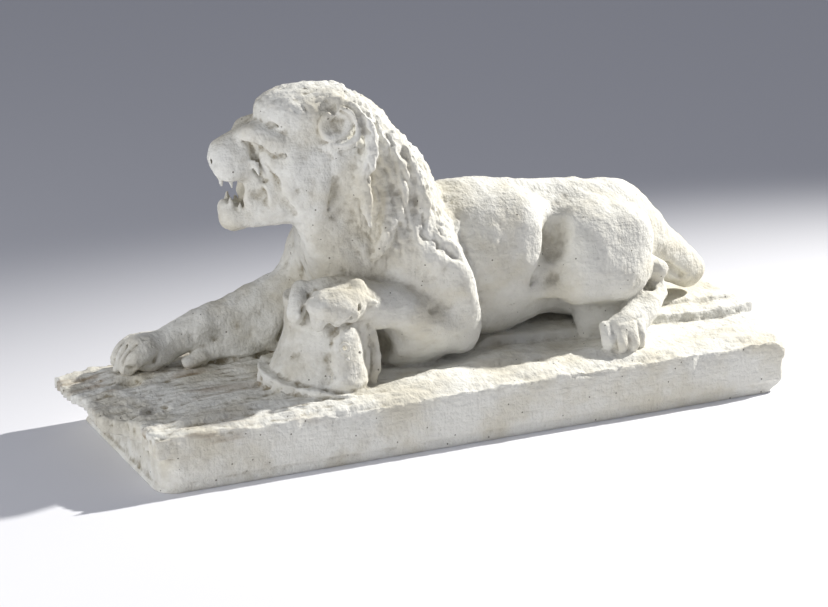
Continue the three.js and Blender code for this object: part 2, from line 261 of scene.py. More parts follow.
def trunk(clay):
    """Ribs, withers, loin and rump as overlapping eggs, with the flank's hollow cut behind the ribs."""
    at = place(BARREL)
    clay.egg(at(0, 0, 0), (66, 42, 57), (0, 2, 0), 8)
    clay.egg(at(-20, -2, 14), (44, 40, 46), k=10)
    clay.egg(at(52, 5, 1), (50, 30, 48), (0, 4, 0), 14)
    clay.egg(at(84, 0, -4), (50, 42, 50), (0, 12, 0), 14)
    clay.egg(at(-2, -21, 10), (34, 26, 40), (0, -10, 0), 8)
    clay.egg(at(13, -26, 21), (20, 19, 31), (0, -8, 0), 7)
    clay.egg(at(12, -20, 34), (26, 17, 18), (0, 10, 0), 8)
    clay.dent(at(43, -43, 22), (13, 17, 28), (0, 12, 0), 4)
    clay.groove([at(28, -36, 46, 3), at(35, -41, 34, 5), at(35, -41, 14, 7), at(27, -43, -4, 5),
                 at(18, -43, -14, 2)], 4)
    # spine
    clay.limb([at(-20, -2, 48, 5), at(16, -2, 50, 5), at(50, -1, 45, 5), at(78, 0, 38, 6)], 9)


def hind_leg_front(clay):
    """The folded hind leg: eggs for the thigh, knee and calf, with the flank hollowed before them,
    tapering rods for the foot, and a paw with four toes."""
    at = place(HIP)
    clay.egg(at(0, -25, 3), (42, 31, 37), (0, 22, 0), 8)
    clay.egg(at(-9, -38, 4), (23, 19, 28), (0, 20, 0), 8)
    clay.egg(at(-19, -44, -9), (15, 15, 21), (0, 10, 0), 7)
    clay.dent(at(-39, -38, 22), (10, 13, 22), (0, 8, 0), 4)          # hollow of the flank
    clay.egg(at(4, -39, -10), (34, 22, 24), (0, 8, 0), 8)
    clay.egg(at(17, -38, 12), (22, 15, 22), (0, 30, 0), 9)
    clay.groove([at(-31, -34, 30, 2.0), at(-44, -38, 12, 3.2), at(-54, -38, -6, 3),
                 at(-60, -34, -14, 1.5)], 6)
    # skin fold to the belly
    clay.limb([at(-52, -33, -22, 3), at(-42, -37, -20, 4.5), at(-28, -42, -20, 7)], 8)
    clay.limb([at(-6, -30, -50, 10), at(10, -34, -50, 12), at(24, -38, -46, 10)], 12)
    # hock and tendon
    clay.limb([at(40, -38, -12, 7.5), at(43, -38, -20, 7.2), at(43, -40, -31, 7.5)], 3)
    clay.egg(at(44, -42, -14), (7.5, 6, 6.5), k=3)
    clay.limb([at(42, -41, -31, 8), at(30, -49, -36, 10.5), at(18, -57, -42, 11.5),
               at(6, -64, -46, 11.5)], 3)
    clay.groove([at(33, -49, -21, 2.4), at(35, -46, -28, 3.2), at(37, -44, -33, 2)], 3)
    clay.dent(at(30, -44, -22), (6, 6, 4), (0, 30, 0), 3)
    # paw, with four toes
    clay.egg(at(1, -67, -49), (14.5, 13, 12.5), (-25, 12, 0), 3)
    for x, y, z, r in ((11, -74, -52, 5), (3, -77, -53, 5.6), (-6, -77, -53, 5.6), (-13, -72, -53, 5)):
        clay.limb([at(x + 2, y + 8, z + 9, 5), at(x, y, z + 3, r), at(x - 1, y - 1.5, z - 2, r - 1.2)], 1.5)
    for x, y in ((8, -80), (-1.5, -83), (-10, -79)):
        clay.groove([at(x, y + 6, -39, 1.0), at(x, y + 1, -47, 1.4), at(x, y, -55, 1.2)], 1.5)
    clay.groove([at(12, -70, -38, 1), at(-2, -74, -37, 1.8), at(-12, -66, -38, 1)], 2)


def hind_leg_back(clay):
    """The far hind leg, folded the same way and plainer."""
    at = place(HIP)
    clay.egg(at(0, 28, 0), (40, 29, 37), (0, 20, 0), 10)
    clay.egg(at(-24, 38, -14), (16, 14, 20), (0, 8, 0), 8)
    clay.groove([at(-30, 38, 30, 2), at(-42, 40, 10, 3), at(-52, 40, -8, 2)], 6)
    clay.limb([at(-26, 42, -38, 11), at(-6, 44, -41, 12), at(12, 44, -40, 12), at(38, 39, -32, 11)], 6)
    clay.limb([at(42, 38, -14, 7.5), at(44, 40, -30, 8), at(26, 45, -44, 9), at(6, 50, -49, 10)], 4)
    for x in (0, 8, -8):
        clay.limb([at(x, 52, -48, 5), at(x - 1, 57, -52, 5)], 2)


def tail_stub(clay):
    """A thick wedge down from the rump, cut off square just above the ground."""
    clay.limb([(144, 14, 118, 29), (162, 14, 106, 25), (180, 16, 92, 20.5), (198, 17, 80, 17.5),
               (*TAIL_CUT, 14.5)], 8)
    at = place(TAIL_CUT)
    clay.chop(at(24, 2, 1), (8, 26, 26), (12, 26, 0), 2, 2)
    clay.groove([at(-52, -16, 34, 1.2), at(-30, -17, 14, 2.4), at(-12, -14, 0, 1.5)], 5)
    clay.dent(at(-16, -4, -18), (20, 18, 8), (0, 24, 0), 3)


def shoulders(clay):
    """Two shoulder eggs, a deep chest between them and the breast below the throat."""
    at = place(SHOULDER)
    clay.egg(at(1, -29, 0), (30, 26, 42), (0, -14, 0), 10)
    clay.egg(at(-2, 24, -2), (34, 28, 46), (0, -14, 0), 10)
    clay.egg(at(-14, 0, -36), (42, 42, 48), k=10)
    clay.egg(at(-42, -8, 10), (26, 30, 32), k=10)
    clay.egg(at(-44, 22, -8), (24, 24, 30), (0, -8, 0), 9)
    clay.groove([at(-64, 2, 8, 2), at(-70, 6, -6, 4), at(-66, 6, -24, 4), at(-60, 0, -36, 2)], 6)


def near_foreleg(clay):
    """The bent foreleg: rods from the shoulder down to the elbow, then forward to the helmet."""
    at = place(SHOULDER)
    clay.limb([at(6, -40, 0, 18), at(16, -41, -12, 18), at(23, -41, -26, 17), at(28, -38, -46, 15)], 8)
    clay.limb([at(32, -37, -55, 14), at(16, -42, -52, 15), at(-4, -46, -43, 15), at(-24, -49, -34, 13),
               at(-38, -50, -30, 12)], 8)
    clay.egg(at(26, -40, -44), (12, 12, 22), (0, -4, 0), 8)
    clay.egg(at(33, -36, -62), (11, 13, 14), k=8)
    clay.egg(at(0, -24, -58), (36, 26, 26), k=8)
    clay.dent(at(-42, -34, -62), (22, 22, 17), (-10, 10, 0), 5)        # dark room behind the helmet
    clay.groove([at(-8, -54, -31, 1.5), at(-2, -56, -34, 2.5), at(6, -56, -33, 1.2)], 3)
    clay.groove([at(-36, -58, -22, 1.5), at(-14, -60, -25, 2.2), at(4, -60, -16, 2),
                 at(14, -60, -2, 1.2)], 5)
    clay.groove([at(-6, -62, -45, 1), at(10, -62, -52, 2), at(24, -56, -60, 1.4)], 4)
    clay.dent(at(-6, -62, -8), (16, 9, 7), (0, 30, 0), 5)
    clay.limb([at(18, -50, 2, 5), at(26, -52, -14, 6), at(32, -50, -32, 6), at(36, -46, -44, 5)], 8)


def bell_radii(up):
    """How far the bell's wall stands out at a height: to its nape side, its face side and across."""
    nape = 46 - 31 * up + 14 * up * up
    face = 32 - 2 * up
    across = 38 - 12 * up + 2 * up * up
    return nape, face, across


def helmet(clay):
    """A bell: an oval that narrows upwards and flares at the nape, with a lip round its rim."""
    at = place(HELMET, BELL["turn"])
    cut, x, y, z = clay.window([-156, -80, 34], [-40, 38, 114])
    turn = np.radians(BELL["turn"])
    along = (x - HELMET[0]) * np.cos(turn) + (y - HELMET[1]) * np.sin(turn)
    aside = (y - HELMET[1]) * np.cos(turn) - (x - HELMET[0]) * np.sin(turn)
    up = np.clip((z - HELMET[2]) / BELL["taper"], 0, BELL["tall"] / BELL["taper"])
    nape, face, across = bell_radii(up)
    long = np.where(along < 0, nape, face)
    side = (np.sqrt((along / long) ** 2 + (aside / across) ** 2) - 1) * np.minimum(long, across)
    rim = HELMET[2] + 1 - 0.09 * along
    clay.add(cut, np.maximum(np.maximum(side * 0.85, rim - z), z - HELMET[2] - BELL["tall"]), 1.2)
    lip = (np.sqrt((along / 47.5) ** 2 + (aside / 44) ** 2) - 1) * 40
    clay.add(cut, np.maximum(lip, z - rim - 4 + 0.05 * along), 1.5)
    # the cheek plate: a swelling with a round top over the face side, and a band behind it
    clay.egg(at(15, -26, 24), (13, 7.5, 22), (18, -2, 0), 3)
    clay.egg(at(17, -27, 8), (13.5, 8, 16), (18, 0, 0), 4)
    clay.groove([at(0, -38, 2, 1), at(1, -37, 14, 1.8), at(2, -35, 28, 1.6)], 4)
    clay.limb([at(31, -12, 1, 4), at(34, -8, 12, 3.4), at(34, -6, 26, 3.2), at(30, -5, 38, 3)], 2)
    clay.groove([at(29, -19, 4, 1), at(31, -17, 16, 1.6), at(30, -15, 30, 1.6), at(26, -16, 38, 1)], 1.5)
    # little cast marks: a ring and three dots
    clay.limb([at(14 + 3 * np.cos(a), -36.8, 35 + 3 * np.sin(a), 1.5)
               for a in np.linspace(0, 2 * np.pi, 9)], 0.6, 1)
    for x, y, z, r in ((24, -34, 31, 1.8), (16, -37.5, 27, 1.3), (3, -39.5, 15, 1.5)):
        clay.egg(at(x, y, z), (r, 1.6, r * 0.9), k=0.6)


def near_paw(clay):
    """The upper edge of the forearm and the forepaw over the helmet's top: a flat back that faces
    up, knuckled toes that hang over the front, and a spur behind."""
    clay.limb([(-116, -30, 109, 6), (-102, -32, 112, 6.5), (-84, -34, 110, 7), (-66, -36, 103, 8),
               (-52, -37, 98, 9), (-40, -37, 88, 10)], 5)
    at = place(HELMET)
    clay.limb([at(35, -13, 50, 12), at(22, -16, 57, 12), at(6, -20, 62, 11.5), at(-8, -22, 62, 11)], 5)
    clay.egg(at(-4, -27, 61), (22, 15, 11), (4, 6, 8), 3)
    clay.limb([at(-14, -28, 68, 4), at(0, -29, 68.5, 4.5), at(12, -29, 65, 4), at(20, -29, 61.5, 2.4),
               at(25, -29, 60, 1)], 2)
    toes = ((-28, -15, 58, 6.6, 0.4), (-17, -27, 55, 6.6, 0), (-5, -31, 57, 5.8, 0), (6, -31, 59, 5.8, 0))
    for x, y, z, r, first in toes:
        clay.limb([at(x + 8, y + 10, z + 10, 6.5), at(x + 2, y + 2, z + 5, r), at(x, y, z - 1, r),
                   at(x - 0.5, y, z - 6 - 2 * first, r - 2)], 1.8)
        clay.egg(at(x - 1, y - 5.5, z - 2), (2.6, 3, 3.8), (0, 20, 0), 0.8)
        clay.dent(at(x + 2.4, y - 6.5, z + 2), (1.5, 3, 3), (0, 30, 0), 0.8)
    for x, y in ((-23.5, -26), (-11, -35), (0.5, -38)):
        clay.groove([at(x + 3, y + 6, 66, 0.8), at(x + 1, y + 1, 60, 2), at(x, y + 1, 52, 2.2),
                     at(x - 1, y + 2, 45, 1)], 1.2)
    clay.dent(at(14, -39, 53), (6, 6, 7), (0, -16, 0), 1.5)
    clay.dent(at(-25, -24, 58), (2, 4, 5), (0, 24, 0), 1)


def far_foreleg(clay):
    """The straight foreleg along the ground, thinner to the wrist, and a paw with four toes."""
    y = 50
    clay.egg([-70, y - 6, 112], (22, 25, 32), (0, -10, 0), 9)
    clay.limb([(-72, y - 5, 110, 22), (-90, y - 3, 88, 20), (-111, y - 1, 79, 18), (-130, y, 74, 15.5),
               (-146, y, 71, 13.5), (-160, y, 68.5, 12.8), (-176, y, 62, 12), (-192, y, 57, 11)], 9)
    clay.limb([(-64, y - 6, 74, 30), (-92, y - 5, 66, 26), (-116, y - 4, 60, 19), (-140, y - 3, 54, 14),
               (-156, y - 3, 50, 11)], 9)
    clay.egg([-163, y - 3, 70], (10, 11, 9), (0, 14, 0), 5)
    clay.groove([(-168, y - 12, 50, 1.5), (-171, y - 15, 58, 2.4), (-174, y - 12, 66, 1.2)], 4)
    clay.limb([(-168, y - 12, 48, 6), (-176, y - 14, 47, 5)], 4)
    clay.egg([-202, y, 54], (17, 17, 13), (0, 6, 0), 5)
    clay.egg([-204, y - 2, 62], (11, 12, 6), (0, 10, 0), 4)
    for toe in range(4):
        across = y - 13 + 8.4 * toe
        clay.limb([(-202, across + 1, 57, 6.5), (-211, across, 57, 6.3), (-218, across - 1, 52, 5.6),
                   (-220, across - 1, 47, 4.6)], 1.5)
    for toe in range(3):
        across = y - 9 + 8.4 * toe
        clay.groove([(-206, across, 66, 1), (-216, across, 59, 1.8), (-224, across - 0.5, 50, 1.6)], 1.5)
    clay.groove([(-198, y - 18, 60, 1), (-202, y - 17, 52, 2.5), (-204, y - 16, 45, 2)], 3)
    clay.groove([(-80, y - 26, 96, 2.0), (-96, y - 22, 84, 3), (-106, y - 22, 70, 2.4),
                 (-112, y - 22, 58, 1.5)], 6)


def neck(clay):
    """A thick chain of rods from the poll down to the chest, broadened by the mane."""
    clay.limb([(-75, 9, 194, 41), (-60, 12, 172, 44.5), (-46, 15, 149, 47), (-44, 15, 108, 46)], 10)
    at = place(SKULL)
    clay.limb([at(14, -5, -40, 20), at(22, -8, -58, 24), at(30, -8, -78, 29)], 10)


def head(clay):
    """Skull, crown of hair, long flat bridge, square muzzle, brows, eyes, cheeks and open jaws."""
    at = place(SKULL, HEAD_TURN + 180)               # x forward, y to the near side, z up
    yaw = HEAD_TURN
    clay.egg(at(-4, 0, 0), (34, 30, 35), (yaw, 0, 0), 8)
    clay.egg(at(-4, 0, 19), (36, 29, 19), (yaw, 0, 0), 7)            # hair over the crown
    clay.egg(at(14, 0, 23), (17, 26, 13), (yaw, -14, 0), 5)          # forelock that juts over the brow
    clay.limb([at(24, -8, 24, 6), at(25, 6, 23, 6), at(18, 18, 20, 6)], 5)
    # muzzle: a rounded block with a flat bridge, and the nose at its front
    clay.slab(at(47, 0, -9), (15, 17, 12.5), (yaw, -8, 0), 11, 4)
    clay.limb([at(16, 0, 3, 17), at(32, 0, 1, 14), at(46, 0, -3, 11.5), at(54, 0, -6, 9.5)], 6)
    clay.egg(at(57, 0, -9), (8, 11, 8), (yaw, 0, 0), 4)
    for side in (-1, 1):
        clay.egg(at(49, side * 10, -14), (14.5, 10, 10.5), (yaw, -6, 0), 4)            # upper lip
        clay.egg(at(31, side * 12.5, 8), (14.5, 9.5, 8.5), (yaw + side * -8, 8, 0), 4)   # brow
        clay.egg(at(39, side * 8, 6), (8, 7, 6), (yaw, 10, 0), 3)
        clay.egg(at(22, side * 20.5, 4), (11.5, 7.5, 7.5), (yaw, 14, 0), 3)           # closed-looking eye
        clay.egg(at(8, side * 19, -20), (22, 15, 24), (yaw, 0, 0), 7)                 # cheek
        clay.egg(at(22, side * 16, -14), (13, 9, 11), (yaw, 0, 0), 6)
        clay.egg(at(35, side * 12, -31), (10, 5.5, 14), (yaw, 0, 0), 4)               # corner of the mouth
        clay.limb([at(46, side * 6, -51, 7.5), at(30, side * 11, -48, 8), at(12, side * 17, -41, 11),
                   at(-2, side * 20, -34, 12)], 6)
        clay.limb([at(-6, side * 25, -8, 5), at(-9, side * 28, -20, 5), at(-9, side * 28, -32, 4.6),
                   at(-2, side * 26, -42, 4)], 6)
        # cheek into neck
        clay.limb([at(-6, side * 20, -30, 13), at(-4, side * 18, -46, 13), at(-12, side * 16, -66, 16),
                   at(-24, side * 14, -90, 20)], 10)
    clay.egg(at(49, 0, -51), (9.5, 12, 10), (yaw, 24, 0), 4)        # chin
    clay.egg(at(53, 0, -45), (6, 10, 6), (yaw, 0, 0), 3)
    # open mouth, right through at the front, and a hollow inside each cheek
    clay.dent(at(63, 0, -29.5), (20, 32, 7.5), (yaw, 4, 0), 2)
    clay.dent(at(51, 0, -31), (9, 22, 8.5), (yaw, 0, 0), 3)
    for side in (-1, 1):
        clay.dent(at(35.5, side * 26, -33), (9.5, 11, 8.5), (yaw, 0, 0), 2)
        clay.groove([at(44, side * 20, -37, 1.0), at(37, side * 21, -41.5, 1.6),
                     at(29, side * 21, -40, 1.2)], 2)
        clay.limb([at(36, side * 17, -9, 2.5), at(31, side * 20, -18, 3), at(26, side * 21, -28, 3.2),
                   at(25, side * 20, -38, 2.5)], 3)
        # folds: behind the muzzle, at the eye's corner, under the eye and round the mouth
        clay.groove([at(39, side * 13, 4, 1.4), at(35.5, side * 15, -6, 2.8), at(34, side * 16, -14, 2.8),
                     at(30, side * 18, -22, 2)], 2)
        # hollow between muzzle and cheek
        clay.dent(at(26, side * 33, -19), (8, 12, 16), (yaw, 16, 0), 6)
        clay.groove([at(30, side * 22, -12, 1.2), at(24, side * 26, -24, 2), at(18, side * 27, -36, 2),
                     at(12, side * 27, -44, 1)], 7)
        clay.limb([at(24, side * 21, -10, 2), at(16, side * 24, -20, 3.2), at(11, side * 25, -32, 2.6)], 4)
        clay.groove([at(43, side * 13, 5, 0.9), at(37, side * 17, 2, 2.2), at(31, side * 21, -2.5, 1.7),
                     at(22, side * 25, -5, 1), at(13, side * 27, -2, 0.7)], 2)
        clay.groove([at(37, side * 14, 13, 0.8), at(33, side * 17, 8, 1.3), at(31, side * 21, 3, 0.8)], 1.8)
        clay.groove([at(4, side * 23, 22, 1), at(14, side * 22, 17, 1.8), at(26, side * 19, 17, 1.4)], 3)
        clay.dent(at(62, side * 6, -10), (2.6, 2.4, 1.8), (yaw, 0, 0), 1.2)           # nostril
        # teeth: long ones at the corners, and a row of small ones
        for x, y, z, r, tall in ((58, 8, -24, 2.1, 6), (51.5, 11, -24.5, 1.9, 6.5), (46, 13, -24, 1.5, 4)):
            clay.limb([at(x, side * y, z + 3, r), at(x - 0.5, side * y, z - tall + 3, 0.6)], 1)
        for x, y, z, r, tall in ((51.5, 8, -40, 2.1, 7), (45.5, 10, -41, 1.6, 5), (55, 5, -42, 1.4, 3)):
            clay.limb([at(x, side * y, z - 3, r), at(x, side * y, z - 3 + tall, 0.6)], 1)
        # combed hair over the temples
        for n in range(7):
            x = 4 - 3.2 * n
            clay.groove([at(x + 2, side * (16 + n), 40 - 0.4 * n, 0.6), at(x, side * (22 + n), 34 - 0.6 * n,
                    1.1), at(x - 2, side * (26 + n), 26, 0.7)], 1)


def ears_and_collar(clay):
    """Heart-shaped ears with thick rims, a fringe and tuft below each, and the rolled collar of mane
    that frames the face from the crown to below the cheek."""
    at = place(SKULL, HEAD_TURN + 180)
    yaw = HEAD_TURN
    for side in (-1, 1):
        clay.egg(at(-19, side * 29, 16), (14.5, 8, 12.5), (yaw + side * 22, -8, 0), 2)
        clay.dent(at(-11, side * 45, 17), (18, 11.5, 12), (yaw + side * 28, -10, 0), 3)
        clay.limb([at(-15, side * 33, 27, 1.2), at(-21, side * 35, 28.5, 1.8), at(-28, side * 36, 25, 2.1),
                   at(-31.5, side * 36.5, 17, 2.2),
                   at(-30, side * 37, 9, 2.1), at(-24, side * 36.5, 4.5, 1.8),
                   at(-16, side * 35, 3.5, 1.4)], 1.5)
        clay.dent(at(-15, side * 33, 28), (3, 6, 3), (yaw, 30, 0), 1)                # notch in its top
        for n in range(8):                           # fringe
            x = -13 - 2.3 * n
            clay.limb([at(x, side * 34, 4 + 0.3 * n, 1.5), at(x - 0.6, side * 34.5, 0.4 * n - 1,
                    0.9)], 0.8, 1)
        # tuft
        clay.limb([at(-12, side * 31, 2, 3), at(-17, side * 32, -5, 2.8), at(-17, side * 31, -13, 1)], 1.6)
        clay.limb([at(-10, side * 30, 1, 2.5), at(-12, side * 30, -6, 2)], 1.5)
        roll = ((-6, 0, 29, 5), (-14, 14, 30, 5), (-22, 24, 29, 5.5), (-31, 31, 24, 5.5),
                (-38, 36, 15, 5.5), (-40, 37, 4, 5.5),
                (-38, 38, -8, 5), (-34, 37, -18, 5), (-31, 35, -30, 4))
        clay.limb([at(x, side * y, z, 0.82 * r) for x, y, z, r in roll], 6)
        furrow = ((-12, 22, 38, 1.2), (-18, 28, 35, 3), (-28, 34, 29, 2.6), (-34, 38, 19, 2.4),
                  (-35, 40, 8, 2.6), (-31, 40, -3, 3),
                  (-25, 38, -12, 3.4), (-20, 35, -24, 3), (-17, 33, -38, 1.5))
        clay.groove([at(x, side * y, z, r) for x, y, z, r in furrow], 2.5)
        clay.dent(at(-14, side * 29, 32), (4, 5, 6), (yaw, 0, 0), 2.5)
        clay.groove([at(-16, side * 33, -20, 1.5), at(-15, side * 32, -30, 2),
                     at(-11, side * 30, -41, 1)], 4)


def mane(clay):
    """Heavy locks: furrows and rods that fan back and down from the collar to the shoulder, with a
    crease where the shoulder comes out from under them, a torn flap and pockets between the locks."""
    at = place(SKULL)
    clay.egg(at(64, -22, -44), (22, 14, 34), (0, -14, 0), 8)
    clay.groove([at(56, -46, -60, 1.5), at(66, -48, -60, 3), at(76, -49, -68, 3.2), at(86, -50, -78, 2.6),
                 at(96, -50, -84, 1)], 4)
    locks = (((42, -36, 16), (52, -40, -6), (57, -43, -30), (54, -45, -50)),
             ((54, -34, 6), (66, -39, -16), (72, -43, -40), (70, -45, -58)),
             ((44, -43, -34), (46, -46, -50), (42, -47, -64), (36, -46, -76)))
    for lock in locks:
        clay.limb([at(p[0], p[1] + 4, p[2], r) for p, r in zip(lock, (2, 4, 4, 2))], 6)
    deep = (((27, -42, -6), (29, -46, -12), (33, -46, -20)),
            ((38, -43, -6), (41, -47, -13), (44, -47, -22)),
            ((37, -46, -24), (35, -50, -34), (31, -49, -44)),
            ((27, -46, -42), (22, -49, -54), (15, -48, -62)),
            ((48, -45, -34), (46, -49, -44), (40, -50, -58)),
            ((66, -46, -48), (71, -50, -56), (66, -50, -62)),
            ((56, -38, 8), (60, -43, -6), (64, -45, -20)),
            ((47, -36, 20), (54, -41, 8), (58, -43, -8)),
            ((38, -36, 26), (46, -38, 14), (50, -41, 0)),
            ((78, -40, -26), (82, -45, -38), (82, -46, -52)),
            ((12, -40, -62), (6, -43, -72), (-4, -42, -82)),
            ((34, -47, -64), (28, -48, -76), (16, -46, -88)))
    for furrow in deep:
        clay.groove([at(p[0], p[1] + 3, p[2], r) for p, r in zip(furrow, (1.4, 4.2, 1.6))], 2)
    # torn flap
    clay.limb([at(28, -44, -22, 3), at(26, -47, -32, 4), at(27, -47, -44, 3), at(30, -46, -52, 1.5)], 2)
    clay.groove([at(31, -45, -20, 2), at(33, -48, -32, 3.6), at(35, -48, -44, 3), at(42, -47, -34, 2)], 2)
    clay.groove([at(52, -46, -22, 1.5), at(47, -49, -30, 3), at(38, -50, -46, 3),
                 at(30, -49, -60, 1.5)], 2.5)
    for n in range(8):                                # the far side, plainer
        clay.groove([at(20 + 6 * n, 34 - 1.5 * n, 24 - 4 * n, 1), at(30 + 6 * n, 43 - n, -2 - 6 * n, 3),
                     at(28 + 7 * n, 48, -34 - 7 * n, 1.5)], 3)
        clay.limb([at(24 + 6 * n, 34 - 2 * n, 20 - 4 * n, 2), at(35 + 6 * n, 42 - n, -6 - 6 * n, 4.5),
                   at(33 + 7 * n, 46, -38 - 7 * n, 2)], 4)


def ground(clay):
    """A rough slab over the plinth: its height is a level with a slack wave, low mounds where clay
    was pressed on, and boards as two steps. It juts past the head end in broken strips."""
    cut, x, y, z = clay.window([-275, -82, 22], [256, 82, 62])
    half_x, half_y = PLINTH[0] / 2, PLINTH[1] / 2
    edge = half_y - np.abs(y)
    top = 38.2 + (GROUND_TOP - 38.2) * rise(edge, 0, 14) * rise(x, -262, -195)
    top = top + 0.9 * np.sin(x * 0.06 + 2) * np.sin(y * 0.05) * rise(edge, 3, 20)
    top = top + 2.2 * rise(-y, 66, 76) * rise(-np.abs(x + 205), -40, -10)
    front = BOARD["front"] + 4 * rise(x, 60, 30) - 6 * rise(x, 130, 240) + 1.2 * np.sin(x * 0.05)
    top = top + BOARD["thick"] * rise(y, front - 1.2, front + 1.6) * rise(x, 22, 36)
    top = top + 2.4 * rise(y, front + 20, front + 22.5) * rise(x, 150, 170) * rise(-x, -252, -240)
    mounds = ((-28, -56, 36, 18, 5), (18, -42, 40, 24, 4), (-120, -42, 40, 30, 2.5), (-60, -62, 26, 12, 3),
              (-150, 34, 60, 30, 2.5), (112, -50, 36, 26, 5), (70, -52, 34, 18, 2), (212, -56, 26, 20, 3),
              (-186, -60, 50, 12, 2), (40, -64, 30, 10, 1.6))
    for mx, my, rx, ry, tall in mounds:
        share = np.clip(1 - ((x - mx) / rx) ** 2 - ((y - my) / ry) ** 2, 0, 1)
        top = top + tall * share ** 1.5
    top = top - 5.5 * rise(x, 196, 240) * rise(-y, front * -1, 30) * rise(edge, 40, 0)
    jut = (-half_x - 0.5 - 4 * rise(y, -46, -34) - 15 * rise(y, -32, -24) + 2 * rise(y, 2, 10)
           - 5 * rise(y, 22, 34))
    jut = (jut - 0.5 * rise(y, 42, 48) + 16 * rise(y, 66, 82) + 1.2 * np.sin(y * 0.9)
           + 0.8 * np.sin(y * 2.1 + 1))
    under = 25 + 4 * rise(-x, 238, 262) + 2 * rise(y, -40, 60)
    d = np.maximum(np.maximum(z - top, under - z), jut - x)
    end = (half_x + 10 * rise(y, front - 1, front + 3) * rise(z, 40, 42)
           - 8 * rise(y, 20, 60) * rise(z, 40, 42))
    d = np.maximum(np.maximum(d, x - end + 0.8 * np.sin(y * 0.7)),
                   np.abs(y) - half_y + 1.0 * rise(z, 33, 40))
    clay.add(cut, d * 0.9, 1)
    # splits along the strips, and two pits torn near their ends
    for y0, y1, y2, r in ((40, 38, 44, 1.9), (30, 28, 34, 1.5), (10, 7, 12, 2.2), (-4, -6, -2, 1.3),
                          (-19, -23, -18, 2.2), (20, 19, 25, 1.2)):
        clay.groove([(-268, y0, 42.6, r), (-236, y1, 43.0, r * 0.9), (-200, y2, 43.4, r * 0.4)], 1.5)
    clay.dent((-224, 28, 45), (12, 9, 10), (25, 0, 0), 1.5)
    clay.dent((-224, -26, 44), (14, 8, 10), (30, 0, 0), 1.5)
    clay.groove([(-250, -22, 42.5, 1.5), (-236, -27, 43, 2.5), (-226, -30, 43, 2)], 1.5)
    for x0, y0, x1, y1, r in ((-180, -8, -128, -2, 1.6), (-190, 6, -140, 12, 1.3),
                              (-176, -22, -134, -18, 1.1), (-170, 22, -128, 26, 1.4),
                              (-160, -34, -128, -30, 1.0), (60, -30, 150, -34, 0.9),
                              (150, -36, 226, -44, 1.0), (-20, -62, 40, -66, 0.8)):
        clay.groove([(x0, y0, 45.5, r), ((x0 + x1) / 2, (y0 + y1) / 2 + 1.5, 45.8, r * 1.2),
                     (x1, y1, 45.5, r * 0.6)], 2)


def plinth(clay):
    """The long block: flat walls with rounded upright corners, a strip along the foot set in a
    little, a chamfer at the foot of the tail end and a wavy, crumbling rim."""
    half_x, half_y, tall = PLINTH[0] / 2, PLINTH[1] / 2, PLINTH[2]
    cut, x, y, z = clay.window([-262, -82, -3], [250, 82, 46])
    foot = rise(z, 9.2, 7.6)
    inset = 0.9 * foot + 0.25 * np.sin(x * 0.031) * rise(z, 0, 20)
    hollow = 2.0 * np.clip(1 - ((y - 4) / 70.0) ** 2, 0, 1) * np.clip(1 - ((z - 20) / 17) ** 2, 0, 1)
    flange = 2.0 * rise(z, 3.5, 1.5)
    walls_x = np.abs(x) - half_x
    walls_x = np.where(x < 0, walls_x + 2.2 + hollow * 0.8 - flange,
                       walls_x + 0.6 + 10 * rise(z, 11, 0) ** 2)
    walls_y = np.abs(y) - half_y + np.where(y < 0, inset, 0.3)
    corner = np.where((x < 0) & (y < 0), 15.0, 4.0)
    qx, qy = walls_x + corner, walls_y + corner
    out = (np.sqrt(np.clip(qx, 0, None) ** 2 + np.clip(qy, 0, None) ** 2)
           + np.minimum(np.maximum(qx, qy), 0) - corner)
    rim = (tall - 0.6 + 0.9 * np.sin(x * 0.021 + 0.6) + 0.5 * np.sin(x * 0.13)
           + 0.3 * np.sin(x * 0.41 + y * 0.2))
    rim = rim + 1.2 * rise(x, 190, 205) - 3 * rise(x, 226, 240)
    d = np.maximum(np.maximum(out, z - rim), -z)
    clay.add(cut, d, 0.6)


def model(cell):
    """The whole cast in clay: the plinth and the lion first, and the ground pressed on last."""
    clay = Clay((-266, -82, -2), (252, 82, 252), cell)
    for part in (plinth, trunk, hind_leg_front, hind_leg_back, tail_stub, shoulders, neck, near_foreleg,
                 far_foreleg, head, mane, ears_and_collar, helmet, near_paw, ground):
        part(clay)
    return clay


# ---- From clay to plaster ----------------------------------------------------------------------
MM = 0.001                     # metres in a millimetre
CELL = 1.15                    # grid spacing, mm
MOST_TRIANGLES = 192000
INSIDE = 0.05                  # how far the cast stays inside the frame's box, mm


def facing(points, squares):
    """Each point's outward direction: the sum of its squares' diagonals crossed, made one long."""
    across = np.cross(points[squares[:, 2]] - points[squares[:, 0]],
                      points[squares[:, 3]] - points[squares[:, 1]])
    total = np.stack([sum(np.bincount(squares[:, c], across[:, i], len(points)) for c in range(4))
                      for i in range(3)], 1)
    return total / (np.linalg.norm(total, axis=1, keepdims=True) + 1e-9)


def combed(p, direction, size, stretch, seed):
    """Noise drawn out along a direction: the places are squeezed that way before it is looked up."""
    d = np.array(direction, float)
    d /= np.linalg.norm(d)
    return lattice_noise(p - (1 - 1 / stretch) * (p @ d)[:, None] * d, size, seed)


ASKEW = (31, 23, 17)           # a turn that keeps the noise's own grain off the object's axes


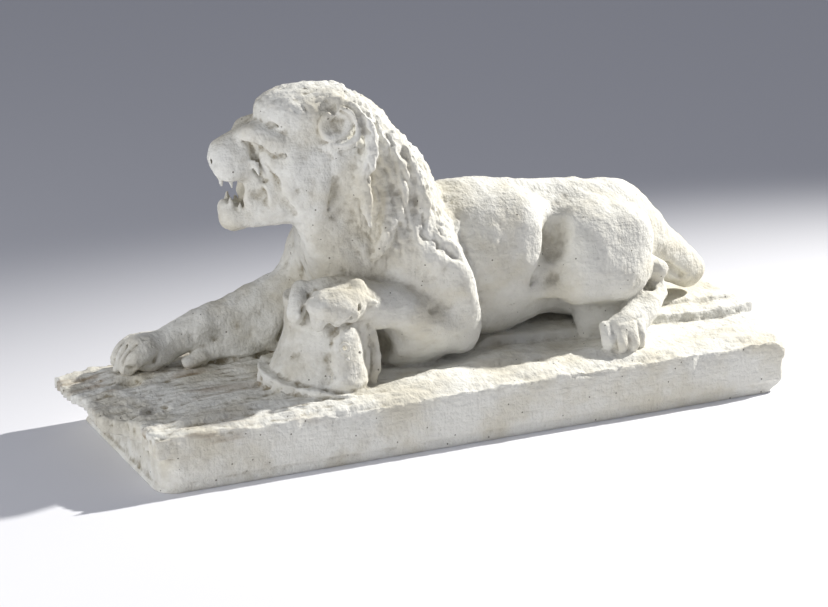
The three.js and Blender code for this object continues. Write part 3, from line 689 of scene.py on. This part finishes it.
def relief(p):
    """How far the modeller's touch lifts or sinks the surface at each point, in mm: lumps, finger
    marks and scrapes of falling size, strands that run down the mane, and layers along the ground."""
    x, z = p[:, 0], p[:, 2]
    q = p @ turned(ASKEW)
    lumps = (0.8 * lattice_noise(q, 15.0, 1) + 0.6 * lattice_noise(q, 7.5, 2)
             + 0.4 * lattice_noise(q, 4.2, 3))
    fine = 0.14 * lattice_noise(q, 2.4, 4)
    mane_zone = rise(z, 112, 140) * rise(x, -84, -70) * rise(-x, -12, 4)
    strands = (2.4 * np.abs(combed(p, (0.3, 0, -1), 5, 4, 5))
               + 1.5 * np.abs(combed(p, (0.1, 0, -1), 2.8, 4, 6)) - 1.2)
    broken = 1.5 * np.abs(lattice_noise(q, 6, 10)) + 0.9 * np.abs(lattice_noise(q, 3.4, 12)) - 0.7
    crown_zone = rise(z, 222, 234) * rise(-x, 66, 80)
    combing = 0.8 * combed(p, (1, 0.1, -0.6), 2.6, 5, 11)
    ground_zone = rise(-z, -52, -47) * rise(z, 32, 36)
    strata = 1.8 * combed(p, (1, 0.04, 0), 5.5, 7, 7) + 1.0 * combed(p, (1, -0.1, 0), 2.6, 6, 8)
    head_end = rise(-x, 20, 120)
    crumbs = 0.5 * lattice_noise(p, 2.6, 9) * rise(z, 33, 38) * rise(-z, -43, -39)
    wall = rise(-z, -38, -33)
    touch = (lumps + fine) * (1 - 0.7 * wall) + (strands + broken) * mane_zone + combing * crown_zone
    return touch + (strata * (0.35 + 0.65 * head_end) + crumbs) * ground_zone * (1 - wall)


FOOT = 2.5                     # the height over which the relief sets in above the flat underside


def cast_points(cell):
    """Points and squares of the whole cast, with its relief, flat underneath and inside the frame."""
    clay = model(cell)
    points, squares = skin(clay.axes, clay.d)
    foot = rise(points[:, 2], 0.0, FOOT)
    points = points + facing(points, squares) * (relief(points) * foot)[:, None]
    points = np.clip(points, LOW + INSIDE * np.array([1, 1, 0]), HIGH - INSIDE)
    return points, squares


def mesh_from(name, points, faces):
    """A mesh with the given points, in metres, and faces."""
    mesh = bpy.data.meshes.new(name)
    mesh.from_pydata(points, [], faces)
    return mesh


def thinned(mesh, most):
    """A piece with the same surface in fewer triangles, kept where it bends most."""
    piece = bpy.data.objects.new(mesh.name, mesh)
    bpy.context.collection.objects.link(piece)
    triangles = 2 * len(mesh.polygons)
    thin = piece.modifiers.new("thin", "DECIMATE")
    thin.ratio = min(1.0, most / triangles)
    bpy.context.view_layer.update()
    result = bpy.data.meshes.new_from_object(piece.evaluated_get(bpy.context.evaluated_depsgraph_get()))
    piece.modifiers.clear()
    piece.data = result
    return piece


NARROW_STEPS, WIDE_STEPS = 4, 24     # how often a neighbourhood is spread for crevices and for hollows


def hollowness(points, edges, normals):
    """How sunken each point is against its surroundings, in mm: the height along its normal of the
    mean of its neighbourhood, after that mean has been spread over more and more neighbours."""
    count = np.bincount(edges.ravel(), minlength=len(points))[:, None] + 1
    mean = points.copy()
    levels = []
    for step in range(1, WIDE_STEPS + 1):
        total = mean.copy()
        for axis in range(3):
            total[:, axis] += np.bincount(edges[:, 0], mean[edges[:, 1], axis], len(points))
            total[:, axis] += np.bincount(edges[:, 1], mean[edges[:, 0], axis], len(points))
        mean = total / count
        if step in (NARROW_STEPS, WIDE_STEPS):
            levels.append(((mean - points) * normals).sum(1))
    return levels


def build_lion():
    """The whole cast as one smooth-shaded piece, with how sunken each point is stored on it."""
    points, squares = cast_points(CELL)
    piece = thinned(mesh_from("lion_plaster", points * MM, squares), MOST_TRIANGLES)
    mesh = piece.data
    count = len(mesh.vertices)
    flat = np.empty(count * 3)
    mesh.vertices.foreach_get("co", flat)
    where = flat.reshape(-1, 3) * 1000
    flat = np.empty(count * 3)
    mesh.vertices.foreach_get("normal", flat)
    normals = flat.reshape(-1, 3)
    edges = np.empty(len(mesh.edges) * 2, np.int32)
    mesh.edges.foreach_get("vertices", edges)
    narrow, wide = hollowness(where, edges.reshape(-1, 2), normals)
    for name, values in (("narrow", narrow), ("wide", wide)):
        mesh.attributes.new(name, "FLOAT", "POINT").data.foreach_set("value", values.astype(np.float32))
    mesh.polygons.foreach_set("use_smooth", np.ones(len(mesh.polygons), bool))
    mesh.update()
    return piece


# ---- Finishes ----------------------------------------------------------------------------------
class Wire:
    """A socket of a finish, with arithmetic that adds Math nodes."""

    def __init__(self, recipe, socket):
        self.recipe, self.socket = recipe, socket

    def maths(self, operation, *values):
        """One Math node over the values."""
        sockets = dict(enumerate(values))
        return self.recipe.node("ShaderNodeMath", {"operation": operation}, sockets)[0]

    def __add__(self, other):
        return self.maths("ADD", self, other)

    def __radd__(self, other):
        return self.maths("ADD", other, self)

    def __sub__(self, other):
        return self.maths("SUBTRACT", self, other)

    def __rsub__(self, other):
        return self.maths("SUBTRACT", other, self)

    def __mul__(self, other):
        return self.maths("MULTIPLY", self, other)

    def __rmul__(self, other):
        return self.maths("MULTIPLY", other, self)


class Recipe:
    """The node tree of one finish."""

    def __init__(self, name):
        self.material = bpy.data.materials.new(name)
        self.material.use_nodes = True
        self.tree = self.material.node_tree
        self.tree.nodes.clear()

    def node(self, kind, settings=None, sockets=None):
        """Adds a node, sets its settings and then its sockets, and returns its outputs as wires."""
        node = self.tree.nodes.new(kind)
        for key, value in (settings or {}).items():
            setattr(node, key, value)
        for key, value in (sockets or {}).items():
            if isinstance(value, Wire):
                self.tree.links.new(value.socket, node.inputs[key])
            else:
                node.inputs[key].default_value = value
        return [Wire(self, socket) for socket in node.outputs]

    def between(self, value, low, high, to_low=0.0, to_high=1.0):
        """A value taken smoothly from one range to another."""
        names = ("Value", "From Min", "From Max", "To Min", "To Max")
        sockets = dict(zip(names, (value, low, high, to_low, to_high)))
        return self.node("ShaderNodeMapRange", {"interpolation_type": "SMOOTHSTEP"}, sockets)[0]

    def mixed(self, factor, one, other):
        """A colour between two."""
        return self.node("ShaderNodeMix", {"data_type": "RGBA"}, {0: factor, 6: one, 7: other})[2]

    def noise(self, where, scale, detail=3.0, roughness=0.55):
        """Cloudy values about a half, scale clouds to the metre."""
        sockets = {"Vector": where, "Scale": scale, "Detail": detail, "Roughness": roughness}
        return self.node("ShaderNodeTexNoise", {}, sockets)[0]

    def stretched(self, where, scale, turn=(0, 0, 0)):
        """The places squeezed by a scale along each axis, after a turn in radians."""
        return self.node("ShaderNodeMapping", {}, {"Vector": where, "Scale": scale, "Rotation": turn})[0]


CHALK = (0.80, 0.79, 0.735, 1)
CREAM = (0.70, 0.665, 0.565, 1)
DUST_AND_SHADE = (0.27, 0.235, 0.165, 1)
STAIN = (0.25, 0.17, 0.09, 1)
HOLE_SHADE = (0.10, 0.085, 0.06, 1)
PAPER = (0.80, 0.80, 0.83, 1)


def plaster():
    """Off-white plaster: chalky and cream patches, dust and painted shade where the surface is sunken, a
    dust film over the head end, a band of painted shade on the lower body, brown stains in the broken
    ground, small round air holes painted dark for the shade in their pits, and fine scrapes."""
    r = Recipe("plaster")
    where = r.node("ShaderNodeTexCoord")[3]
    x, _, z = r.node("ShaderNodeSeparateXYZ", {}, {0: where})
    narrow = r.node("ShaderNodeAttribute", {"attribute_name": "narrow"})[2]
    wide = r.node("ShaderNodeAttribute", {"attribute_name": "wide"})[2]
    patches = r.noise(where, 22.0, 4.0)
    askew = r.stretched(where, (1.0, 1.0, 1.0), (0.5, 0.4, 0.3))
    blotch = r.noise(askew, 110.0, 4.0, 0.65)
    grain = r.noise(askew, 300.0, 2.0, 0.6)
    colour = r.mixed(r.between(patches, 0.40, 0.68), CHALK, CREAM)
    head_end = r.between(x, -0.03, -0.13)
    # painted shade: darker in crevices and broad hollows where shade falls, partly dust that settles there
    # too
    sunken = r.between(narrow, 0.04, 0.5) * 0.85 + r.between(wide, 0.3, 3.2) * 0.28
    specks = r.between(blotch * 0.7 + grain * 0.3, 0.36, 0.66)
    dust_and_shade = sunken * (0.25 + 0.8 * specks) * (0.35 + 0.45 * head_end)
    dirt_film_and_shade = (0.25 + 0.75 * head_end) * r.between(patches * 0.35 + blotch * 0.65, 0.38, 0.64) * 0.24
    # painted shade: a darker band over the lower body, from 5 to 15 cm up, for the shade on the near flank
    # and thigh
    dirt_film_and_shade = dirt_film_and_shade + 0.11 * r.between(z, 0.15, 0.12) * r.between(z, 0.050, 0.065)
    colour = r.mixed(dust_and_shade + dirt_film_and_shade, colour, DUST_AND_SHADE)
    low = r.between(z, 0.053, 0.040) * r.between(z, 0.026, 0.036)
    tide = r.noise(r.stretched(where, (12.0, 60.0, 60.0)), 1.0, 4.0)
    stained = low * r.between(tide, 0.52, 0.70) * r.between(x, -0.10, -0.20) * 0.7
    colour = r.mixed(stained, colour, STAIN)
    cells = r.node("ShaderNodeTexVoronoi", {}, {"Vector": where, "Scale": 190.0})
    apart = r.node("ShaderNodeSeparateColor", {}, {0: cells[1]})
    hole = (r.between(cells[0], 0.06 + 0.08 * apart[1], 0.03 + 0.08 * apart[1])
            * r.between(apart[0], 0.66, 0.68))
    # painted shade: each air hole is coloured near black for the shade inside its pit, besides its dent in
    # the bump
    colour = r.mixed(hole * 0.8, colour, HOLE_SHADE)
    scrape = r.noise(r.stretched(where, (70.0, 160.0, 380.0), (0.4, 0.7, 0.5)), 1.0, 2.0)
    brush = r.noise(r.stretched(where, (380.0, 180.0, 80.0), (0.8, 0.5, 0.9)), 1.0, 2.0)
    height = grain * 0.5 + scrape * 0.4 + brush * 0.3 + blotch * 0.7 - hole * 0.6
    bump = r.node("ShaderNodeBump", {}, {"Height": height, "Distance": 0.0035, "Strength": 0.5})[0]
    sockets = {"Base Color": colour, "Normal": bump, "Roughness": 0.86, "Specular IOR Level": 0.25}
    surface = r.node("ShaderNodeBsdfPrincipled", {}, sockets)[0]
    r.node("ShaderNodeOutputMaterial", {}, {0: surface})
    return r.material


def paper():
    """Matt studio paper."""
    r = Recipe("paper")
    sockets = {"Base Color": PAPER, "Roughness": 1.0}
    surface = r.node("ShaderNodeBsdfPrincipled", {}, sockets)[0]
    r.node("ShaderNodeOutputMaterial", {}, {0: surface})
    return r.material


# ---- Stage, lights and camera ------------------------------------------------------------------
AZIMUTH, ELEVATION, ROLL = np.radians((-25.05, 18.0, -0.06))
CAMERA = Vector((-0.73605, -1.53147, 0.62838))
LENS, SENSOR = 109.7, 36.0           # millimetres
FLOOR_HALF = 9.0                     # metres from the middle of the floor to its edge
POOL, POOL_RADIUS = (0.1, -0.43, 0), 1.0     # the key's pool of light on the floor, in metres
KEY_TOWARDS, KEY_DISTANCE = (0.773, 0.217, 0.595), 3.0
KEY_WATTS, KEY_COLOUR, KEY_SIZE, KEY_BLEND = 620, (1.0, 0.985, 0.945), 0.05, 0.85
ROOM_COLOUR, ROOM_STRENGTH = (0.80, 0.83, 0.95, 1), 0.27


def paper_floor():
    """One square of paper, wide enough to fill the view."""
    corners = np.array([(-1, -1, 0), (1, -1, 0), (1, 1, 0), (-1, 1, 0)]) * FLOOR_HALF
    mesh = mesh_from("floor", corners, [(0, 1, 2, 3)])
    mesh.materials.append(paper())
    piece = bpy.data.objects.new("floor", mesh)
    bpy.context.collection.objects.link(piece)
    return piece


def aimed(piece, middle, towards, distance):
    """Puts a lamp at a distance from a point, in a direction, shining back at the point."""
    direction = Vector(towards).normalized()
    spot = Matrix.Translation(Vector(middle) + direction * distance)
    piece.matrix_world = spot @ direction.to_track_quat("Z", "Y").to_matrix().to_4x4()
    bpy.context.collection.objects.link(piece)


def key_lamp():
    """A small lamp high on the right and a little behind, whose pool fades out behind the object."""
    data = bpy.data.lights.new("key", "SPOT")
    data.energy, data.color, data.shadow_soft_size = KEY_WATTS, KEY_COLOUR, KEY_SIZE
    data.spot_size, data.spot_blend = 2 * np.arctan(POOL_RADIUS / KEY_DISTANCE), KEY_BLEND
    aimed(bpy.data.objects.new("key", data), POOL, KEY_TOWARDS, KEY_DISTANCE)


def lamp(name, towards, distance, size, power, colour):
    """A round soft lamp that shines at the middle of the object from a direction."""
    data = bpy.data.lights.new(name, "AREA")
    data.shape, data.size, data.energy, data.color = "DISK", size, power, colour
    aimed(bpy.data.objects.new(name, data), (0, 0, 0.1), towards, distance)


def camera():
    """Looks along the azimuth and elevation, rolled a hair."""
    s, c = np.sin(AZIMUTH), np.cos(AZIMUTH)
    back = Vector((s * np.cos(ELEVATION), -c * np.cos(ELEVATION), np.sin(ELEVATION)))
    right = Vector((c, s, 0))
    turn = Matrix((right, back.cross(right), back)).transposed().to_4x4() @ Matrix.Rotation(ROLL, 4, "Z")
    data = bpy.data.cameras.new("camera")
    data.lens, data.sensor_width = LENS, SENSOR
    piece = bpy.data.objects.new("camera", data)
    piece.matrix_world = Matrix.Translation(CAMERA) @ turn
    bpy.context.collection.objects.link(piece)
    bpy.context.scene.camera = piece


lion = build_lion()
lion.data.materials.append(plaster())
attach(lion, "root")
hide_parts("lion_on_plinth")
paper_floor()
key_lamp()
lamp("fill", towards=(-0.94, -0.22, 0.26), distance=1.5, size=0.7, power=9.0, colour=(0.97, 0.98, 1.0))
world = bpy.data.worlds.new("room")
world.use_nodes = True
world.node_tree.nodes["Background"].inputs[0].default_value = ROOM_COLOUR
world.node_tree.nodes["Background"].inputs[1].default_value = ROOM_STRENGTH
bpy.context.scene.world = world
bpy.context.scene.view_settings.view_transform = "Standard"
camera()
